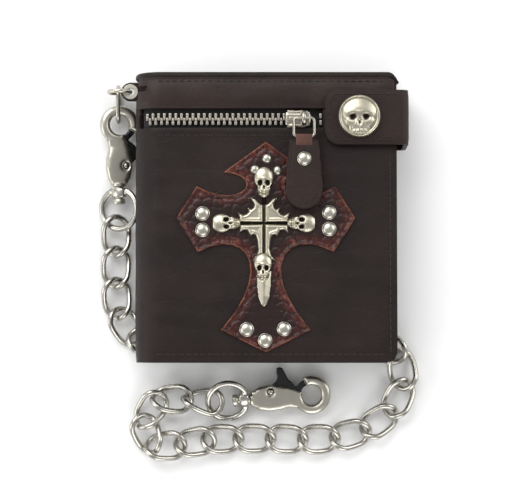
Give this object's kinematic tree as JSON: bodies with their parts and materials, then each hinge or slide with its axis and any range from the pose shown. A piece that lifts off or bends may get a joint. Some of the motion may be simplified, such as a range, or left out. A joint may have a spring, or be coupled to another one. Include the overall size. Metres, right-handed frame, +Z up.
{
  "type": "chain wallet",
  "caption": "Leather bifold wallet with zip coin pocket, snap strap and cross badge, and a curb chain with a trigger clasp at each end.",
  "frame": {"origin": "on the surface the wallet lies on, under the middle of the whole object with its chain laid out", "axes": "+X to the wallet's open edge, +Y to its top edge, +Z up out of its front"},
  "size_m": [0.1371, 0.1655, 0.0324],
  "materials": {
    "brown_leather": "smooth finished cowhide, satin",
    "lining_leather": "thin matt lining leather",
    "croc_leather": "crocodile-embossed, waxed",
    "bag_cloth": "plain woven cotton",
    "zip_tape": "woven zip tape",
    "zip_metal": "antique silver plate",
    "nickel": "polished nickel plate",
    "pewter": "antiqued cast pewter",
    "black_metal": "black enamel"
  },
  "bodies": {
    "wallet_back": {"back_cover": "brown_leather", "card_pockets": "lining_leather", "bill_divider": "lining_leather", "chain_tab": "brown_leather", "chain_eyelet": "nickel"},
    "wallet_front": {"front_cover": "brown_leather", "top_band": "brown_leather", "front_lining": "lining_leather", "coin_bag": "bag_cloth", "zip_tape": "zip_tape", "zip_teeth_upper": "zip_metal", "zip_teeth_lower": "zip_metal", "cross_applique": "croc_leather", "cross_rivets": "nickel", "metal_cross": "pewter", "snap_stud": "nickel"},
    "zip_slider": {"zip_slider": "zip_metal"},
    "zip_pull_ring": {"zip_pull_ring": "zip_metal"},
    "pull_tab": {"pull_tab": "brown_leather", "pull_tab_rivet": "nickel"},
    "snap_strap": {"snap_strap": "brown_leather", "snap_cap": "pewter", "snap_socket": "nickel"},
    "wallet_ring": {"wallet_ring": "nickel"},
    "ring_link": {"ring_link": "nickel"},
    "clasp_a": {"clasp_a_frame": "nickel", "clasp_a_pin": "nickel"},
    "clasp_a_trigger": {"clasp_a_trigger": "black_metal"},
    "clasp_a_swivel": {"clasp_a_swivel": "nickel"},
    "clasp_b": {"clasp_b_frame": "nickel", "clasp_b_pin": "nickel"},
    "clasp_b_trigger": {"clasp_b_trigger": "black_metal"},
    "clasp_b_swivel": {"clasp_b_swivel": "nickel"},
    "link_1": {"link_1": "nickel"},
    "link_2": {"link_2": "nickel"},
    "link_3": {"link_3": "nickel"},
    "link_4": {"link_4": "nickel"},
    "link_5": {"link_5": "nickel"},
    "link_6": {"link_6": "nickel"},
    "link_7": {"link_7": "nickel"},
    "link_8": {"link_8": "nickel"},
    "link_9": {"link_9": "nickel"},
    "link_10": {"link_10": "nickel"},
    "link_11": {"link_11": "nickel"},
    "link_12": {"link_12": "nickel"},
    "link_13": {"link_13": "nickel"},
    "link_14": {"link_14": "nickel"},
    "link_15": {"link_15": "nickel"},
    "link_16": {"link_16": "nickel"},
    "link_17": {"link_17": "nickel"},
    "link_18": {"link_18": "nickel"},
    "link_19": {"link_19": "nickel"},
    "link_20": {"link_20": "nickel"},
    "link_21": {"link_21": "nickel"},
    "link_22": {"link_22": "nickel"},
    "link_23": {"link_23": "nickel"},
    "link_24": {"link_24": "nickel"},
    "link_25": {"link_25": "nickel"},
    "link_26": {"link_26": "nickel"},
    "link_27": {"link_27": "nickel"}
  },
  "joints": [
    {"name": "cover_open", "type": "hinge", "parent": "wallet_back", "child": "wallet_front", "pos_m": [-0.0524, 0.02111, 0.01519], "axis": [0, -0.9976, 0.0691], "range_deg": [0, 90]},
    {"name": "strap_open", "type": "hinge", "parent": "wallet_back", "child": "snap_strap", "pos_m": [0.0626, 0.06335, 0.02454], "axis": [0, 0.9976, -0.0691], "range_deg": [0, 150]},
    {"name": "zip_slide", "type": "slide", "parent": "wallet_front", "child": "zip_slider", "axis": [-1, 0, 0], "range_m": [0, 0.056]},
    {"name": "pull_ring_swing", "type": "hinge", "parent": "zip_slider", "child": "zip_pull_ring", "pos_m": [0.0186, 0.06311, 0.02827], "axis": [-1, 0, 0], "range_deg": [0, 90]},
    {"name": "pull_tab_swing", "type": "hinge", "parent": "zip_pull_ring", "child": "pull_tab", "pos_m": [0.0186, 0.05513, 0.02882], "axis": [-1, 0, 0], "range_deg": [0, 95]},
    {"name": "trigger_b", "type": "hinge", "parent": "clasp_b", "child": "clasp_b_trigger", "pos_m": [0.00465, -0.05302, 0.004], "axis": [-0.0539, -0.0038, -0.9985], "range_deg": [0, 24], "stiffness_Nm_per_rad": 0.002},
    {"name": "trigger_a", "type": "hinge", "parent": "clasp_a", "child": "clasp_a_trigger", "pos_m": [-0.05749, 0.0437, 0.00433], "axis": [0.2588, 0, 0.9659], "range_deg": [0, 24], "stiffness_Nm_per_rad": 0.002},
    {"name": "swivel_b", "type": "hinge", "parent": "clasp_b_swivel", "child": "clasp_b", "pos_m": [-0.0136, -0.0569, 0.005], "axis": [0.9961, 0.0697, -0.0541], "range_deg": [-20, 60]},
    {"name": "swivel_a", "type": "hinge", "parent": "clasp_a", "child": "clasp_a_swivel", "pos_m": [-0.06, 0.0252, 0.005], "axis": [0, 1, 0], "range_deg": [-10, 5]},
    {"name": "wallet_ring_turn", "type": "hinge", "parent": "wallet_back", "child": "wallet_ring", "pos_m": [-0.0549, 0.07491, 0.01046], "axis": [0, 0, 1], "range_deg": [-8, 0]},
    {"name": "ring_link_turn", "type": "hinge", "parent": "wallet_ring", "child": "ring_link", "pos_m": [-0.0604, 0.0746, 0.006], "axis": [0, 0, -1], "range_deg": [0, 8]},
    {"name": "clasp_a_turn", "type": "hinge", "parent": "ring_link", "child": "clasp_a", "pos_m": [-0.0604, 0.0632, 0.005], "axis": [0, 0, 1], "range_deg": [-8, 0]},
    {"name": "link_1_turn", "type": "hinge", "parent": "clasp_a", "child": "link_1", "pos_m": [-0.0614, 0.021, 0.00345], "axis": [0, 0, -1], "range_deg": [0, 10]},
    {"name": "link_2_turn", "type": "hinge", "parent": "link_1", "child": "link_2", "pos_m": [-0.0614, 0.0068, 0.00345], "axis": [0, 0, 1], "range_deg": [-10, 0]},
    {"name": "link_3_turn", "type": "hinge", "parent": "link_2", "child": "link_3", "pos_m": [-0.06163, -0.0066, 0.00345], "axis": [0, 0, -1], "range_deg": [0, 10]},
    {"name": "link_4_turn", "type": "hinge", "parent": "link_3", "child": "link_4", "pos_m": [-0.06071, -0.01977, 0.00345], "axis": [0, 0, 1], "range_deg": [-10, 0]},
    {"name": "link_5_turn", "type": "hinge", "parent": "link_4", "child": "link_5", "pos_m": [-0.05393, -0.03062, 0.00345], "axis": [0, 0, -1], "range_deg": [0, 10]},
    {"name": "link_6_turn", "type": "hinge", "parent": "link_5", "child": "link_6", "pos_m": [-0.04126, -0.0324, 0.00345], "axis": [0, 0, 1], "range_deg": [-10, 0]},
    {"name": "link_7_turn", "type": "hinge", "parent": "link_6", "child": "link_7", "pos_m": [-0.02829, -0.0315, 0.00345], "axis": [0, 0, -1], "range_deg": [0, 10]},
    {"name": "link_8_turn", "type": "hinge", "parent": "link_7", "child": "link_8", "pos_m": [-0.01532, -0.03059, 0.00345], "axis": [0, 0, 1], "range_deg": [-10, 0]},
    {"name": "link_9_turn", "type": "hinge", "parent": "link_8", "child": "link_9", "pos_m": [-0.00233, -0.03013, 0.00345], "axis": [0, 0, -1], "range_deg": [0, 10]},
    {"name": "link_10_turn", "type": "hinge", "parent": "link_9", "child": "link_10", "pos_m": [0.01067, -0.03013, 0.00345], "axis": [0, 0, 1], "range_deg": [-10, 0]},
    {"name": "link_11_turn", "type": "hinge", "parent": "link_10", "child": "link_11", "pos_m": [0.02367, -0.03013, 0.00345], "axis": [0, 0, -1], "range_deg": [0, 10]},
    {"name": "link_12_turn", "type": "hinge", "parent": "link_11", "child": "link_12", "pos_m": [0.03667, -0.03013, 0.00345], "axis": [0, 0, 1], "range_deg": [-4, 0]},
    {"name": "link_13_turn", "type": "hinge", "parent": "link_12", "child": "link_13", "pos_m": [0.04967, -0.03013, 0.00345], "axis": [0, 0, -1], "range_deg": [0, 4]},
    {"name": "link_14_turn", "type": "hinge", "parent": "link_13", "child": "link_14", "pos_m": [0.06016, -0.03748, 0.00345], "axis": [0, 0, 1], "range_deg": [0, 10]},
    {"name": "link_15_turn", "type": "hinge", "parent": "link_14", "child": "link_15", "pos_m": [0.06236, -0.04998, 0.00345], "axis": [0, 0, -1], "range_deg": [-10, 0]},
    {"name": "link_16_turn", "type": "hinge", "parent": "link_15", "child": "link_16", "pos_m": [0.05683, -0.06186, 0.00345], "axis": [0, 0, 1], "range_deg": [0, 10]},
    {"name": "link_17_turn", "type": "hinge", "parent": "link_16", "child": "link_17", "pos_m": [0.04569, -0.06966, 0.00345], "axis": [0, 0, -1], "range_deg": [-10, 0]},
    {"name": "link_18_turn", "type": "hinge", "parent": "link_17", "child": "link_18", "pos_m": [0.03236, -0.07323, 0.00345], "axis": [0, 0, 1], "range_deg": [0, 10]},
    {"name": "link_19_turn", "type": "hinge", "parent": "link_18", "child": "link_19", "pos_m": [0.01857, -0.07371, 0.00345], "axis": [0, 0, -1], "range_deg": [-10, 0]},
    {"name": "link_20_turn", "type": "hinge", "parent": "link_19", "child": "link_20", "pos_m": [0.00477, -0.07323, 0.00345], "axis": [0, 0, 1], "range_deg": [0, 10]},
    {"name": "link_21_turn", "type": "hinge", "parent": "link_20", "child": "link_21", "pos_m": [-0.00903, -0.07323, 0.00345], "axis": [0, 0, -1], "range_deg": [-3, 1]},
    {"name": "link_22_turn", "type": "hinge", "parent": "link_21", "child": "link_22", "pos_m": [-0.02182, -0.07368, 0.00378], "axis": [0, 0, 1], "range_deg": [-1, 3]},
    {"name": "link_23_turn", "type": "hinge", "parent": "link_22", "child": "link_23", "pos_m": [-0.03393, -0.07581, 0.00428], "axis": [0, 0, -1], "range_deg": [-3, 1]},
    {"name": "link_24_turn", "type": "hinge", "parent": "link_23", "child": "link_24", "pos_m": [-0.04618, -0.07688, 0.00428], "axis": [0.9397, 0.342, 0], "range_deg": [0, 12]},
    {"name": "link_25_turn", "type": "hinge", "parent": "link_24", "child": "link_25", "pos_m": [-0.05022, -0.0658, 0.00428], "axis": [0.8192, -0.5736, 0], "range_deg": [0, 12]},
    {"name": "link_26_turn", "type": "hinge", "parent": "link_25", "child": "link_26", "pos_m": [-0.04345, -0.05613, 0.00459], "axis": [0, -1, 0], "range_deg": [0, 12]},
    {"name": "link_27_turn", "type": "hinge", "parent": "link_26", "child": "link_27", "pos_m": [-0.03095, -0.05613, 0.00528], "axis": [-0.1219, -0.9925, 0], "range_deg": [0, 12]},
    {"name": "ring_b_turn", "type": "hinge", "parent": "link_27", "child": "clasp_b_swivel", "pos_m": [-0.02078, -0.0574, 0.005], "axis": [0.0698, -0.9976, 0], "range_deg": [0, 40]}
  ]
}
